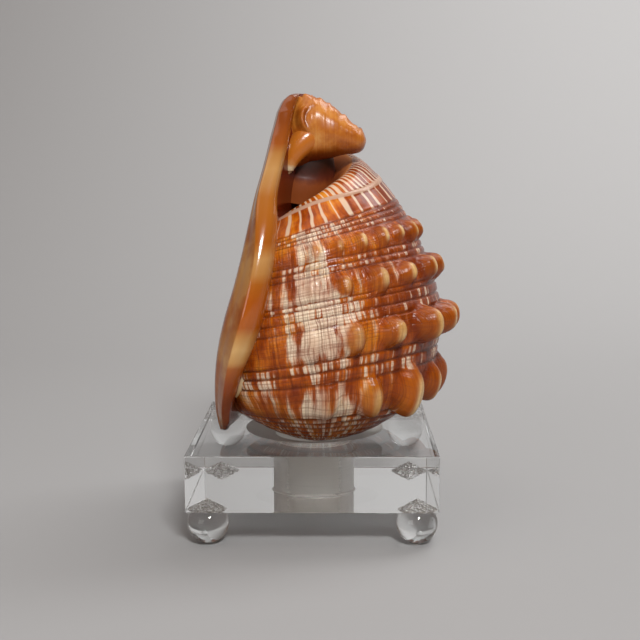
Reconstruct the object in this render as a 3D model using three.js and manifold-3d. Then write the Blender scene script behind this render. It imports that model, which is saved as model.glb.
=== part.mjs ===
// A helmet shell standing on its spire in a clear display block with four ball feet.
// Millimetres, +Z up. The shell's mouth faces -X, its knobbed back faces +X, its canal points up.
import * as THREE from 'three';
import { mergeVertices } from 'three/addons/utils/BufferGeometryUtils.js';
import Module from 'manifold-3d';

// Driving dimensions of the stand
const BLOCK_SIDE = 101.6;
const BLOCK_HEIGHT = 23.3;
const BLOCK_UNDERSIDE = 14.8;
const BORE_RADIUS = 17.1;
const BORE_CHAMFER = 0.8;
const DISH_RADIUS = 30;
const DISH_DEPTH = 3.8;
const BALL_RADIUS = 8.4;
const BALL_INSET = 8.3;
const BALL_FLAT_RADIUS = 1.6;
const BALL_SEGMENTS = 22;
const BALL_STEPS = 8;
const SOCKET_RADIUS = 8;
const SOCKET_DEPTH = 4.5;
const GLUE_GAP = 0.3;
const GLUE_RIM = 1;
const GLUE_NECK_RADIUS = 6;

// Driving dimensions of the shell
const APEX = new THREE.Vector3(1.5, 0, 32.6);
const AXIS_LEAN = new THREE.Vector2(-0.088, 0.03);
const RING_TILT = new THREE.Vector2(0.137, -0.11);
const GROWTH_LOW = 0.045;
const GROWTH_HIGH = 0.11;
const BACK_ROUNDS = 66;
const BACK_RINGS = 40;
const TUBE_SIDES = 14;
const SLOT_WIDTH = 6;
const SLOT_DEPTH = 24;
const SLOT_LEAD = 8;
const SLOT_LIP = 8;
const PLATE_HALF = 6;

// The body whorl's outline on the +X side: distance from the axis, height above the apex
const BACK_OUTLINE = [
  [0, 0], [8, 1.2], [14, 3], [20, 4.8], [26.2, 7], [31.8, 9.8], [38.6, 13.6], [45.4, 18.4], [51.1, 25.2],
  [55.2, 35.6], [57.4, 48.1], [56.6, 60], [54.4, 70.2], [51, 80.6], [46.7, 91.2], [40.8, 102.6], [34.4, 111.6],
  [30, 116.2], [26, 117.6], [21, 115], [15, 109], [8, 104], [0, 102],
];

// Rows of knobs: place on the outline, height of a knob, its half width along and across the row,
// and the azimuth of its first knob and the step to the next, in degrees
const KNOB_ROWS = [
  { at: [51.8, 26.5], tall: 6.5, along: 8.5, across: 5.5, first: -62, step: 22 },
  { at: [57.4, 48.1], tall: 8.5, along: 8, across: 6, first: -71, step: 18.4 },
  { at: [55, 68.1], tall: 5, along: 6.5, across: 4.8, first: -72, step: 16.7 },
  { at: [49.2, 85], tall: 3.4, along: 5, across: 3.6, first: -70, step: 12.2 },
];

// The plate across the mouth side, level by level: height, then centre and radius of the shield's
// rolled edge (near side), then centre and radius of the rolled outer lip (far side)
const PLATE_LEVELS = [
  [41, -37.6, -23, 1.2, -34, 26, 2],
  [46, -37.2, -27, 2.6, -34, 31, 4.5],
  [53, -36.8, -32, 3.6, -34, 36, 6.5],
  [61, -35.3, -38, 4.8, -33, 40.5, 7.8],
  [70, -33.4, -42.5, 6, -31.5, 44, 8.6],
  [80, -30.6, -45, 7.4, -29.5, 46, 9],
  [92, -26.9, -46.5, 8.3, -26.5, 46, 9],
  [104, -23.9, -46, 7.6, -24, 44, 8.8],
  [116, -21.4, -43.3, 7, -22, 40, 8.4],
  [128, -19.6, -38.8, 6.2, -20.5, 34, 7.8],
  [140, -18.4, -33, 4.8, -19.5, 27, 7],
  [152, -15.6, -26.6, 4, -17.5, 20, 6],
  [164, -12.9, -19, 3.5, -14.5, 14, 5],
  [174, -10.6, -13.4, 2.8, -11, 10, 4],
  [180, -8.4, -9.4, 2, -8.4, 7, 2.6],
];

// The canal: place along +X, middle height, half height and half width of its section
const CANAL_STATIONS = [
  [-13, 161, 8, 5], [-10, 164, 14, 8], [-6, 166.5, 16.4, 10.5], [0, 167.6, 15.2, 12], [7, 166.8, 12.2, 11.5],
  [13, 165, 9.2, 10], [18, 163.2, 6.6, 8], [21, 162.4, 4.2, 5.5], [22.3, 162.2, 2, 3],
];

// The middle line of the mouth: height and sideways place
const MOUTH_LINE = [[50, 17], [62, 17], [80, 16], [100, 13], [120, 10], [140, 6], [158, 3], [172, 1], [186, 0]];

// The open groove over the canal, along its middle
const CANAL_GROOVE = [[-16, 162], [-11, 176], [-4, 184], [5, 182.5], [13, 176.5], [20, 169], [27, 161]];
const GROOVE_RADIUS = 3.4;

const wasm = await Module();
wasm.setup();

function smoothStep(low, high, x) {
  const t = THREE.MathUtils.clamp((x - low) / (high - low), 0, 1);
  return t * t * (3 - 2 * t);
}

// A value read between the rows of a table whose first column is the height
function readTable(table, z, column) {
  const upper = table.findIndex((row) => row[0] > z);
  if (upper === 0) return table[0][column];
  if (upper < 0) return table[table.length - 1][column];
  const [low, high] = [table[upper - 1], table[upper]];
  return THREE.MathUtils.mapLinear(z, low[0], high[0], low[column], high[column]);
}

// A closed solid through a stack of rings that all have the same number of points
function ringSolid(rings) {
  const around = rings[0].length;
  const points = rings.flat();
  const faces = [];
  for (let j = 0; j < rings.length - 1; j += 1) {
    for (let i = 0; i < around; i += 1) {
      const a = j * around + i;
      const b = j * around + ((i + 1) % around);
      faces.push(a, b, b + around, a, b + around, a + around);
    }
  }
  for (const end of [0, rings.length - 1]) {
    const middle = rings[end].reduce((sum, p) => sum.add(p), new THREE.Vector3()).divideScalar(around);
    const centre = points.push(middle) - 1;
    for (let i = 0; i < around; i += 1) {
      const a = end * around + i;
      const b = end * around + ((i + 1) % around);
      faces.push(...(end === 0 ? [centre, b, a] : [centre, a, b]));
    }
  }
  const geometry = new THREE.BufferGeometry().setFromPoints(points);
  geometry.setIndex(faces);
  return geometry;
}

function toSolid(geometry) {
  const bare = geometry.clone();
  bare.deleteAttribute('normal');
  bare.deleteAttribute('uv');
  const merged = mergeVertices(bare, 1e-4);
  const mesh = new wasm.Mesh({
    numProp: 3,
    vertProperties: Float32Array.from(merged.attributes.position.array),
    triVerts: Uint32Array.from(merged.index.array),
  });
  return new wasm.Manifold(mesh);
}

function toGeometry(solid) {
  const mesh = solid.getMesh();
  const geometry = new THREE.BufferGeometry();
  geometry.setAttribute('position', new THREE.BufferAttribute(mesh.vertProperties, 3));
  geometry.setIndex(new THREE.BufferAttribute(mesh.triVerts, 1));
  geometry.computeVertexNormals();
  return geometry;
}

// The whorl grows as it turns from the near side over +X, and more slowly from there to the far side
function growth(azimuth, height) {
  const steady = 0.85 * azimuth - 0.15 * Math.hypot(azimuth, 0.4) + 0.06;
  const turned = steady * (1 - smoothStep(1.9, 2.9, Math.abs(azimuth)));
  const rate = THREE.MathUtils.lerp(GROWTH_LOW, GROWTH_HIGH, smoothStep(80, 120, height));
  return Math.exp(rate * turned * smoothStep(0, 20, height));
}

// The section is an oval, widest between +X and the far side
function oval(azimuth) {
  return 0.921 + 0.0906 * Math.cos(azimuth - Math.PI / 6);
}

function knobRise(azimuth, height) {
  const degrees = THREE.MathUtils.radToDeg(azimuth);
  let rise = 0;
  for (const row of KNOB_ROWS) {
    const offset = degrees - row.first - row.step * Math.round((degrees - row.first) / row.step);
    const along = THREE.MathUtils.degToRad(offset) * row.at[0] / row.along;
    const across = (height - row.at[1]) / row.across;
    rise += row.tall * Math.exp(-1.4 * (along * along + across * across));
  }
  return rise * (1 - smoothStep(85, 115, Math.abs(degrees - 15)));
}

// The body whorl with its spire below and the hollow round the canal above, cut off by the mouth plate
function bodySolid() {
  const outline = new THREE.SplineCurve(BACK_OUTLINE.map(([r, z]) => new THREE.Vector2(r, z)));
  const rings = [];
  for (let j = 1; j < BACK_RINGS; j += 1) {
    const place = outline.getPointAt(j / BACK_RINGS);
    const along = outline.getTangentAt(j / BACK_RINGS);
    const ring = [];
    for (let i = 0; i < BACK_ROUNDS; i += 1) {
      const azimuth = -Math.PI + (i / BACK_ROUNDS) * 2 * Math.PI;
      const rise = knobRise(azimuth, place.y);
      const lift = (place.y - rise * along.x) * growth(azimuth, place.y);
      const centre = APEX.x + AXIS_LEAN.x * lift;
      const front = readTable(PLATE_LEVELS, APEX.z + lift, 1) + 3;
      const reach = (place.x + rise * along.y) * oval(azimuth);
      const room = (centre - front) / Math.max(0.01, -Math.cos(azimuth));
      const r = Math.cos(azimuth) < 0 ? softMin(reach, room) : reach;
      const spoke = new THREE.Vector2(r * Math.cos(azimuth), r * Math.sin(azimuth));
      const tilt = spoke.dot(RING_TILT) * smoothStep(5, 40, lift);
      const y = APEX.y + AXIS_LEAN.y * lift + spoke.y;
      ring.push(new THREE.Vector3(centre + spoke.x, y, APEX.z + lift + tilt));
    }
    rings.push(ring);
  }
  return toSolid(ringSolid(rings));
}

// The smaller of two lengths, rounded where they cross
function softMin(a, b) {
  const round = 2;
  return -round * Math.log(Math.exp(-a / round) + Math.exp(-b / round));
}

// A tube of level rings, its centre and radius read from three columns of the plate's table
function edgeTube(column) {
  return toSolid(ringSolid(PLATE_LEVELS.map((level) => {
    const [x, y, radius] = level.slice(column, column + 3);
    return new THREE.EllipseCurve(x, y, radius, radius).getPoints(TUBE_SIDES).slice(0, -1)
      .map((p) => new THREE.Vector3(p.x, p.y, level[0]));
  })));
}

// The plate between the two rolled edges
function plateSolid() {
  return toSolid(ringSolid(PLATE_LEVELS.map(([z, nearX, nearY, nearR, lipX, lipY, lipR]) => {
    const nearFace = nearX - 0.5 * nearR;
    const lipFace = lipX - 0.5 * lipR;
    return [
      [nearFace, nearY], [nearX + 0.6 * nearR, nearY], [nearX + nearR, 0.3 * nearY], [lipX + lipR, 0.3 * lipY],
      [lipX + 0.6 * lipR, lipY], [lipFace, lipY],
    ].map(([x, y]) => new THREE.Vector3(x, y, z));
  })));
}

// The canal's trunk: upright oval sections along +X
function canalSolid() {
  return toSolid(ringSolid(CANAL_STATIONS.map(([x, z, halfHeight, halfWidth]) => (
    new THREE.EllipseCurve(0, z, halfWidth, halfHeight).getPoints(TUBE_SIDES + 4).slice(0, -1)
      .map((p) => new THREE.Vector3(x, p.x, p.y))
  ))));
}

// The mouth: a narrow slot that flares at the plate's face and bends towards the lip inside.
// Its section is given as depth behind the plate's face, then sideways place in half slot widths.
function mouthSolid() {
  const half = SLOT_WIDTH / 2;
  const middleDepth = SLOT_LIP + 0.6 * SLOT_DEPTH;
  const backDepth = SLOT_LIP + SLOT_DEPTH;
  const section = [
    [-SLOT_LEAD, -2.6], [SLOT_LIP / 2, -1.5], [SLOT_LIP, -1], [middleDepth, -0.6], [backDepth, 1.2],
    [backDepth, 3], [middleDepth, 2.2], [SLOT_LIP, 1], [SLOT_LIP / 2, 1.5], [-SLOT_LEAD, 2.6],
  ];
  return toSolid(ringSolid(MOUTH_LINE.map(([z, y]) => {
    const face = readTable(PLATE_LEVELS, z, 1) - PLATE_HALF;
    const narrow = 0.35 + 0.65 * smoothStep(44, 66, z) * (1 - 0.35 * smoothStep(140, 175, z));
    return section.map(([depth, side]) => new THREE.Vector3(face + depth, y + side * half * narrow, z));
  })));
}

function grooveSolid() {
  const path = new THREE.CatmullRomCurve3(CANAL_GROOVE.map(([x, z]) => new THREE.Vector3(x, 0, z)));
  const section = new THREE.Shape().absarc(0, 0, GROOVE_RADIUS, 0, 2 * Math.PI);
  return toSolid(new THREE.ExtrudeGeometry(section, { extrudePath: path, steps: 16, curveSegments: 5 }));
}

function shellGeometry() {
  const grown = [bodySolid(), edgeTube(1), edgeTube(4), plateSolid(), canalSolid()];
  const whole = grown.reduce((sum, piece) => sum.add(piece));
  const pieces = whole.subtract(mouthSolid()).subtract(grooveSolid()).decompose();
  return toGeometry(pieces.reduce((most, piece) => (piece.volume() > most.volume() ? piece : most)));
}

// A solid turned about the upright line through x, y: pairs of radius and height
function turned(profile, x, y, segments) {
  const geometry = new THREE.LatheGeometry(profile.map(([r, z]) => new THREE.Vector2(r, z)), segments);
  return geometry.rotateX(Math.PI / 2).translate(x, y, 0);
}

function blockGeometry() {
  const top = BLOCK_UNDERSIDE + BLOCK_HEIGHT;
  const block = new THREE.BoxGeometry(BLOCK_SIDE, BLOCK_SIDE, BLOCK_HEIGHT)
    .translate(0, 0, BLOCK_UNDERSIDE + BLOCK_HEIGHT / 2);
  const dish = [];
  for (let i = 0; i <= 4; i += 1) {
    const r = THREE.MathUtils.lerp(BORE_RADIUS, DISH_RADIUS, i / 4);
    dish.push([r, top - DISH_DEPTH * (1 - (r / DISH_RADIUS) ** 2)]);
  }
  const bore = [
    [0, BLOCK_UNDERSIDE - 1], [BORE_RADIUS + BORE_CHAMFER + 1, BLOCK_UNDERSIDE - 1],
    [BORE_RADIUS, BLOCK_UNDERSIDE + BORE_CHAMFER], ...dish, [DISH_RADIUS, top + 1], [0, top + 1],
  ];
  const socket = [
    [0, BLOCK_UNDERSIDE - 1], [SOCKET_RADIUS, BLOCK_UNDERSIDE - 1], [SOCKET_RADIUS, BLOCK_UNDERSIDE],
    [0, BLOCK_UNDERSIDE + SOCKET_DEPTH],
  ];
  let solid = toSolid(block).subtract(toSolid(turned(bore, 0, 0, 60)));
  for (const [x, y] of ballPlaces()) solid = solid.subtract(toSolid(turned(socket, x, y, 32)));
  return toGeometry(solid);
}

function ballPlaces() {
  const side = BLOCK_SIDE / 2 - BALL_INSET;
  return [[-side, -side], [side, -side], [side, side], [-side, side]];
}

// A ball with a small flat to stand on, and on top the cone of cured glue that fills its socket
function footGeometry(x, y) {
  const startAngle = Math.asin(BALL_FLAT_RADIUS / BALL_RADIUS);
  const endAngle = Math.PI - Math.asin(GLUE_NECK_RADIUS / BALL_RADIUS);
  const centre = Math.sqrt(BALL_RADIUS ** 2 - BALL_FLAT_RADIUS ** 2);
  const profile = [[0, 0]];
  for (let i = 0; i <= BALL_STEPS; i += 1) {
    const angle = THREE.MathUtils.lerp(startAngle, endAngle, i / BALL_STEPS);
    profile.push([BALL_RADIUS * Math.sin(angle), centre - BALL_RADIUS * Math.cos(angle)]);
  }
  const slope = SOCKET_DEPTH / SOCKET_RADIUS;
  const roof = BLOCK_UNDERSIDE - GLUE_GAP * Math.hypot(1, slope);
  profile.push([SOCKET_RADIUS - GLUE_RIM, roof + slope * GLUE_RIM], [0, roof + SOCKET_DEPTH]);
  return turned(profile, x, y, BALL_SEGMENTS);
}

const acrylic = { color: 0xf4f8f9, roughness: 0.03, metalness: 0 };
const part = new THREE.Group();

function place(name, geometry, finish) {
  const mesh = new THREE.Mesh(geometry, new THREE.MeshStandardMaterial(finish));
  mesh.name = name;
  part.add(mesh);
}

place('shell', shellGeometry(), { color: 0xc8752f, roughness: 0.3, metalness: 0 });
place('stand_block', blockGeometry(), acrylic);
const corners = ['front_left', 'front_right', 'back_right', 'back_left'];
ballPlaces().forEach(([x, y], i) => place(`foot_${corners[i]}`, footGeometry(x, y), acrylic));

// The origin is on the floor, below the middle of the whole part
const middle = new THREE.Box3().setFromObject(part).getCenter(new THREE.Vector3());
for (const mesh of part.children) mesh.geometry.translate(-middle.x, -middle.y, 0);

export default part;
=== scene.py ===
# %% [markdown]
# A helmet shell on a clear display block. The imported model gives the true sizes: the square
# block, its four ball feet and the outline of the shell. This lesson grows the fine shell over
# them, with its knobs and cords, and polishes the clear acrylic, in the same place and in metres.

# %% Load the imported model
import math

import bmesh
import bpy
import numpy as np
from mathutils import Matrix, Vector, noise


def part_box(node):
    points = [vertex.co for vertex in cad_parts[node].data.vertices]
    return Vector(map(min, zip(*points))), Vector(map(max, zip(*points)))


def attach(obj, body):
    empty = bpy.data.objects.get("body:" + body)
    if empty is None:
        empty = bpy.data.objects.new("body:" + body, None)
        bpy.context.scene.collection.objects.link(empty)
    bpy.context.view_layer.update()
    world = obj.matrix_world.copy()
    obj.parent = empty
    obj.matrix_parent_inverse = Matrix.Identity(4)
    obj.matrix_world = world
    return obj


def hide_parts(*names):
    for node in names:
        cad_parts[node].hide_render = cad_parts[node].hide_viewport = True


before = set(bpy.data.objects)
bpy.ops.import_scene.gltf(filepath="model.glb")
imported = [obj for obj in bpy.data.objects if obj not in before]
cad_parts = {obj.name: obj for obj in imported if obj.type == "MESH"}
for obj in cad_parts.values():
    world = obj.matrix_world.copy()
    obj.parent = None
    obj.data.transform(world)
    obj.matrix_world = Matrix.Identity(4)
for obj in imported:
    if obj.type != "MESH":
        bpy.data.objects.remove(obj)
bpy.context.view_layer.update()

MM = 0.001
block_low, block_high = (np.array(corner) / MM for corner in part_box("stand_block"))
stand_middle = (block_low + block_high) / 2
print("block from", block_low.round(1), "to", block_high.round(1), "mm")

# %% [markdown]
# The camera comes first, so that every test render can be laid over the photograph. It stands
# half a metre in front of the block's middle, a little above the shell's waist, and looks down
# by some eight degrees through a moderate telephoto lens.

# %% Camera
CAMERA_FROM_BLOCK = (10.9, -477.4)
CAMERA_HEIGHT = 155.5
CAMERA_YAW, CAMERA_PITCH, CAMERA_ROLL = (math.radians(a) for a in (-1.0, 8.36, 0.18))
FOCAL_LENGTH = 62.4
SENSOR_WIDTH = 36.0
NEAREST_SEEN = 10

lens = bpy.data.cameras.new("camera")
lens.lens = FOCAL_LENGTH
lens.sensor_width = SENSOR_WIDTH
lens.clip_start = NEAREST_SEEN * MM
camera = bpy.data.objects.new("camera", lens)
bpy.context.scene.collection.objects.link(camera)
bpy.context.scene.camera = camera
aim = (Matrix.Rotation(-CAMERA_YAW, 4, "Z") @ Matrix.Rotation(math.pi / 2 - CAMERA_PITCH, 4, "X")
       @ Matrix.Rotation(-CAMERA_ROLL, 4, "Z"))
camera_x, camera_y = stand_middle[:2] + CAMERA_FROM_BLOCK
spot = Vector((camera_x, camera_y, CAMERA_HEIGHT)) * MM
camera.matrix_world = Matrix.Translation(spot) @ aim
print("camera at", [round(c, 4) for c in spot])

# %% [markdown]
# Three helpers serve every finish. The first turns an sRGB hex colour, as a paint chart gives it,
# into the linear values that the renderer counts in. The second adds one shader node, with its
# mode, its stops where it is a ramp, and its wires, and hands back the live output. The third
# opens an empty finish.

# %% Colour and node helpers
MODE_OF = {"Attribute": "attribute_name", "MapRange": "interpolation_type", "Math": "operation",
           "Mix": "data_type", "VectorMath": "operation"}


def linear(code):
    channels = [int(code[i:i + 2], 16) / 255 for i in (1, 3, 5)]
    return tuple(c / 12.92 if c <= 0.04045 else ((c + 0.055) / 1.055) ** 2.4 for c in channels) + (1.0,)


def add(tree, kind, *inputs, stops=None, out=None, **wires):
    """A shader node such as "Bump" or "Math MULTIPLY". Inputs go in by order, wires by name."""
    kind, _, mode = kind.partition(" ")
    made = tree.nodes.new("ShaderNode" + kind)
    if mode:
        setattr(made, MODE_OF[kind], mode)
    for _ in range(len(stops or ()) - 2):
        made.color_ramp.elements.new(0.5)
    for stop, (place, code) in zip(made.color_ramp.elements if stops else (), stops or ()):
        stop.position = place
        stop.color = linear(code)
    live = [socket for socket in made.inputs if socket.enabled]
    by_name = {socket.name.replace(" ", "_"): socket for socket in reversed(live)}
    for socket, value in [*zip(live, inputs), *((by_name[key], value) for key, value in wires.items())]:
        if isinstance(value, bpy.types.NodeSocket):
            tree.links.new(value, socket)
        else:
            socket.default_value = value
    outputs = [socket for socket in made.outputs if socket.enabled]
    return next((s for s in outputs if s.name == out), outputs[0] if outputs else None)


def new_finish(name):
    finish = bpy.data.materials.new(name)
    finish.use_nodes = True
    finish.node_tree.nodes.clear()
    return finish, finish.node_tree


print("helpers ready, nodes with a mode:", sorted(MODE_OF))

# %% [markdown]
# Every part of the shell is one skin that grew ring by ring. A lathe blank has just that order:
# a chain of points spun about the axis, closed at both poles. Each piece starts as such a blank,
# and a growth law then moves its points, as the animal's mantle laid them down. The blank keeps
# two numbers for each point, which ring it is on and how far round, and the law reads them.

# %% Lathe blank
def lathe_blank(rings, rounds):
    """A closed skin of rings between two poles. Returns the bmesh, each point's ring and its turn."""
    bm = bmesh.new()
    ring_of = bm.verts.layers.float.new("ring")
    chain = []
    for ring in range(rings + 1):
        radius = math.sin(math.pi * ring / rings)
        chain.append(bm.verts.new((radius, 0, -math.cos(math.pi * ring / rings))))
        chain[-1][ring_of] = ring
    wire = [bm.edges.new(pair) for pair in zip(chain, chain[1:])]
    bmesh.ops.spin(bm, geom=chain + wire, cent=(0, 0, 0), axis=(0, 0, 1), angle=2 * math.pi,
                   steps=rounds, use_merge=True)
    bmesh.ops.remove_doubles(bm, verts=bm.verts, dist=1e-6)
    bmesh.ops.recalc_face_normals(bm, faces=bm.faces)
    bm.verts.index_update()
    rings_at = np.rint([v[ring_of] for v in bm.verts]).astype(int)
    turns = np.array([math.atan2(v.co.y, v.co.x) for v in bm.verts])
    bm.verts.layers.float.remove(ring_of)
    return bm, rings_at, turns


print("lathe blank ready")

# %% [markdown]
# A law gives each point of a blank its place and its marks. The marks are plain numbers kept on
# the points, such as degrees round or nearness to a tooth, and the finish reads them by name. The
# faces are turned outwards again once the points have moved.

# %% From blank to finished skin
def finish_skin(bm, name, places, marks, finish):
    """Moves the blank's points to their places in mm, stores the growth marks and makes the object."""
    mesh = bpy.data.meshes.new(name)
    bm.to_mesh(mesh)
    bm.free()
    mesh.vertices.foreach_set("co", (places * MM).astype(np.float32).ravel())
    for mark, values in marks.items():
        layer = mesh.attributes.new(mark, "FLOAT", "POINT")
        layer.data.foreach_set("value", np.asarray(values, np.float32))
    check = bmesh.new()
    check.from_mesh(mesh)
    bmesh.ops.recalc_face_normals(check, faces=check.faces)
    check.to_mesh(mesh)
    check.free()
    mesh.polygons.foreach_set("use_smooth", [True] * len(mesh.polygons))
    mesh.materials.append(finish)
    piece = bpy.data.objects.new(name, mesh)
    bpy.context.scene.collection.objects.link(piece)
    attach(piece, "root")
    triangles = sum(len(p.vertices) - 2 for p in mesh.polygons)
    print(name, triangles, "triangles")
    return piece


print("skins ready")

# %% [markdown]
# Smooth steps and smooth curves are the two tools of a growth law. A curve runs through a few
# measured points, as a batten does, and is read at as many places as the skin needs.

# %% Curve helpers
def step(low, high, x):
    t = np.clip((np.asarray(x, float) - low) / (high - low), 0, 1)
    return t * t * (3 - 2 * t)


def batten(points, places, closed=False):
    """Reads the smooth curve through the points at places counted in points, 0 being the first."""
    points = np.asarray(points, float)
    count = len(points)
    at = np.asarray(places, float)
    base = np.floor(at).astype(int)
    if not closed:
        base = np.clip(base, 0, count - 2)
    t = (at - base)[..., None]
    near = [base + k for k in (-1, 0, 1, 2)]
    a, b, c, d = (points[k % count if closed else np.clip(k, 0, count - 1)] for k in near)
    square = 2 * a - 5 * b + 4 * c - d
    cube = 3 * b - a - 3 * c + d
    return 0.5 * (2 * b + (c - a) * t + square * t ** 2 + cube * t ** 3)


def wander(x, y, seed=0.0):
    """Smooth seeded noise between -1 and 1 over two arrays of coordinates."""
    return np.array([noise.noise(Vector((a, b, seed))) for a, b in zip(*np.broadcast_arrays(x, y))])


print("curve helpers ready")

# %% [markdown]
# The body whorl is the great knobbed cone. Its outline on the back is the CAD model's own, from
# the tip of the spire up to the rim of the hollow round the canal. The rim is where the outline
# turns down again. Levels on the shell are counted in mm up this outline.

# %% Outline of the body whorl
APEX = np.array([stand_middle[0] + 1.5, stand_middle[1], 32.6])
AXIS_LEAN = np.array([-0.088, 0.03])
RING_TILT = np.array([0.137, -0.11])
BACK_OUTLINE = [
    (0, 0), (8, 0.9), (14, 2.4), (20, 4.4), (26.2, 6.9), (31.8, 9.8), (38.6, 13.6), (45.4, 18.4),
    (51.1, 25.2), (55.2, 35.6), (57.4, 48.1), (56.6, 60), (54.4, 70.2), (51, 80.6), (46.7, 91.2),
    (40.8, 102.6), (34.4, 111.6), (30, 116.2), (26, 117.6), (21, 115), (15, 109), (8, 104), (0, 102),
]
RIM_LEVEL = 117.6
GROOVE_LEVELS = [2, 4.4, 7, 9.8, 12.6, 15.4, 18.2, 31, 35.4, 39.4, 53.2, 57.6, 62, 64.2, 75.2, 78, 80.8,
                 91.6, 94.2, 96.8, 99.4]
RING_SPACING = 0.72
HOLLOW_SPACING = 1.6

fine_outline = batten(BACK_OUTLINE, np.linspace(0, len(BACK_OUTLINE) - 1, 4001))
fine_arc = np.r_[0, np.cumsum(np.hypot(*np.diff(fine_outline, axis=0).T))]
rim_index = int(fine_outline[:, 1].argmax())
rim_arc = fine_arc[rim_index]
groove_arcs = np.interp(GROOVE_LEVELS, fine_outline[:rim_index, 1], fine_arc[:rim_index])
stations = [0.0]
for arc in [*groove_arcs, rim_arc]:
    pieces = max(2, round((arc - stations[-1]) / RING_SPACING))
    stations.extend(np.linspace(stations[-1], arc, pieces + 1)[1:])
pieces = round((fine_arc[-1] - stations[-1]) / HOLLOW_SPACING)
stations = np.array(stations + list(np.linspace(stations[-1], fine_arc[-1], pieces + 1)[1:]))
outline_r, outline_z = (np.interp(stations, fine_arc, column) for column in fine_outline.T)
tangent_r, tangent_z = np.gradient(outline_r, stations), np.gradient(outline_z, stations)
levels = np.where(stations <= rim_arc, outline_z, RIM_LEVEL + stations - rim_arc)
print(len(stations), "rings on the body whorl, outline", round(fine_arc[-1], 1), "mm long")

# %% [markdown]
# Four rows of knobs run round the back, with beaded cords in the grooves between them. A knob
# is no dome: seen in the way the shell grew, it swells slowly, runs level, and drops sharply on
# its leading side, because the mantle pulled back there each time. Knobs fade out beside the
# shield and before the outer lip.

# %% Knobs
KNOB_ROWS = [
    {"level": 25, "height": 7.4, "tall": 7.4, "first": -62, "pitch": 22},
    {"level": 46.8, "height": 7.6, "tall": 9.0, "first": -71, "pitch": 18.4},
    {"level": 68.6, "height": 6.0, "tall": 5.6, "first": -72, "pitch": 16.7},
    {"level": 85.6, "height": 4.8, "tall": 3.8, "first": -70, "pitch": 12.2},
]
KNOB_FADE_AZIMUTH = [-180, -112, -92, -78, -62, -44, -30, 92, 112, 180]
KNOB_FADE = [0, 0, 0.14, 0.4, 0.78, 0.96, 1, 1, 0, 0]
KNOB_MIDDLE, TRAILING_REACH, LEADING_REACH = 0.1, 0.42, 0.3
SEAM_SHIFT = 0.02
DOME_POWER, SIZE_SWING = 1.3, 0.13
TIP_MIDDLE, TIP_BEHIND, TIP_AHEAD, TIP_ACROSS = 0.05, 0.15, 0.13, 0.66


def knob_shape(azimuth, level, wobble):
    """Height of the knobs in mm, how far up a knob a point is, and how near its leading end."""
    rise, swell, tip = np.zeros_like(azimuth), np.zeros_like(azimuth), np.zeros_like(azimuth)
    for row in KNOB_ROWS:
        turned = (azimuth - row["first"]) / row["pitch"]
        number = np.rint(turned - SEAM_SHIFT)
        along = turned - number - KNOB_MIDDLE + 0.03 * wobble
        size = 1 + SIZE_SWING * np.sin(2.4 * number + row["level"])
        across = np.abs(level - row["level"] + 0.5 * wobble) / (row["height"] * size)
        reach = np.where(along < 0, -along / TRAILING_REACH, along / LEADING_REACH)
        far = np.hypot(reach, across)
        steepness = 1.9 + 1.6 * step(-0.25, 0.1, along)
        dome = np.clip(1 - far ** steepness, 0, 1) ** DOME_POWER
        rise += row["tall"] * size * dome
        swell += dome
        tip_reach = np.where(along < TIP_MIDDLE, TIP_BEHIND, TIP_AHEAD)
        tip += np.exp(-((along - TIP_MIDDLE) / tip_reach) ** 2 - (across / TIP_ACROSS) ** 4)
    fade = np.interp(azimuth, KNOB_FADE_AZIMUTH, KNOB_FADE)
    return rise * fade, swell * fade, tip * fade


print(sum(round(210 / row["pitch"]) for row in KNOB_ROWS), "knobs, near enough")

# %% [markdown]
# Between the rows the surface is a set of rounded cords with narrow grooves. Each row of knobs
# stands on a low keel. Near the top one smooth pale cord climbs a little as it goes left, over a
# striped band that has no cords at all.

# %% Cords, keels and the pale cord
CORD_RELIEF = 0.42
GROOVE_DEPTH = 0.55
GROOVE_HALF_WIDTH = 0.42
CORD_SHOULDER = 1.5
KEEL_HEIGHT = 0.5
LOWER_CORDS, MIDDLE_CORDS, UPPER_CORDS = 0.9, 0.6, 0.4
MIDDLE_CORDS_FROM, UPPER_CORDS_FROM = 62, 90
LAST_CORD = (100, 101.5)
PALE_CORD_AZIMUTH = [-180, -120, -75, -62, -48, -34, 0, 60, 180]
PALE_CORD_LEVEL = [117, 117, 114.4, 112.8, 110.4, 109.2, 108.8, 108.4, 108]
PALE_CORD_HALF_WIDTH = 1.1
PALE_CORD_RELIEF = 0.5


def cord_relief(azimuth, level):
    """Height in mm of cords and keels, the distance to the next groove, and that to the pale cord."""
    to_groove = np.min(np.abs(level[:, None] - np.array(GROOVE_LEVELS)), axis=1)
    strength = np.where(level > UPPER_CORDS_FROM, UPPER_CORDS, MIDDLE_CORDS)
    strength = np.where(level > MIDDLE_CORDS_FROM, strength, LOWER_CORDS) * (1 - step(*LAST_CORD, level))
    shoulder = np.clip(to_groove / CORD_SHOULDER, 0, 1)
    relief = strength * (CORD_RELIEF * (1 - (1 - shoulder) ** 2)
                         - GROOVE_DEPTH * np.exp(-(to_groove / GROOVE_HALF_WIDTH) ** 2))
    for row in KNOB_ROWS:
        relief += KEEL_HEIGHT * np.exp(-((level - row["level"]) / (1.1 * row["height"])) ** 4)
    to_pale = level - np.interp(azimuth, PALE_CORD_AZIMUTH, PALE_CORD_LEVEL)
    relief += PALE_CORD_RELIEF * np.exp(-(to_pale / PALE_CORD_HALF_WIDTH) ** 4)
    return relief, to_groove, to_pale


print(len(GROOVE_LEVELS), "spiral grooves")

# %% [markdown]
# The mouth side of the shell is a plate, and the whorl has to end behind it. So the plate's sizes
# come first, in mm from the block's middle, as rows from its foot to its top. Between the rows
# they are read straight here, and as a smooth curve where the plate itself is made.

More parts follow.
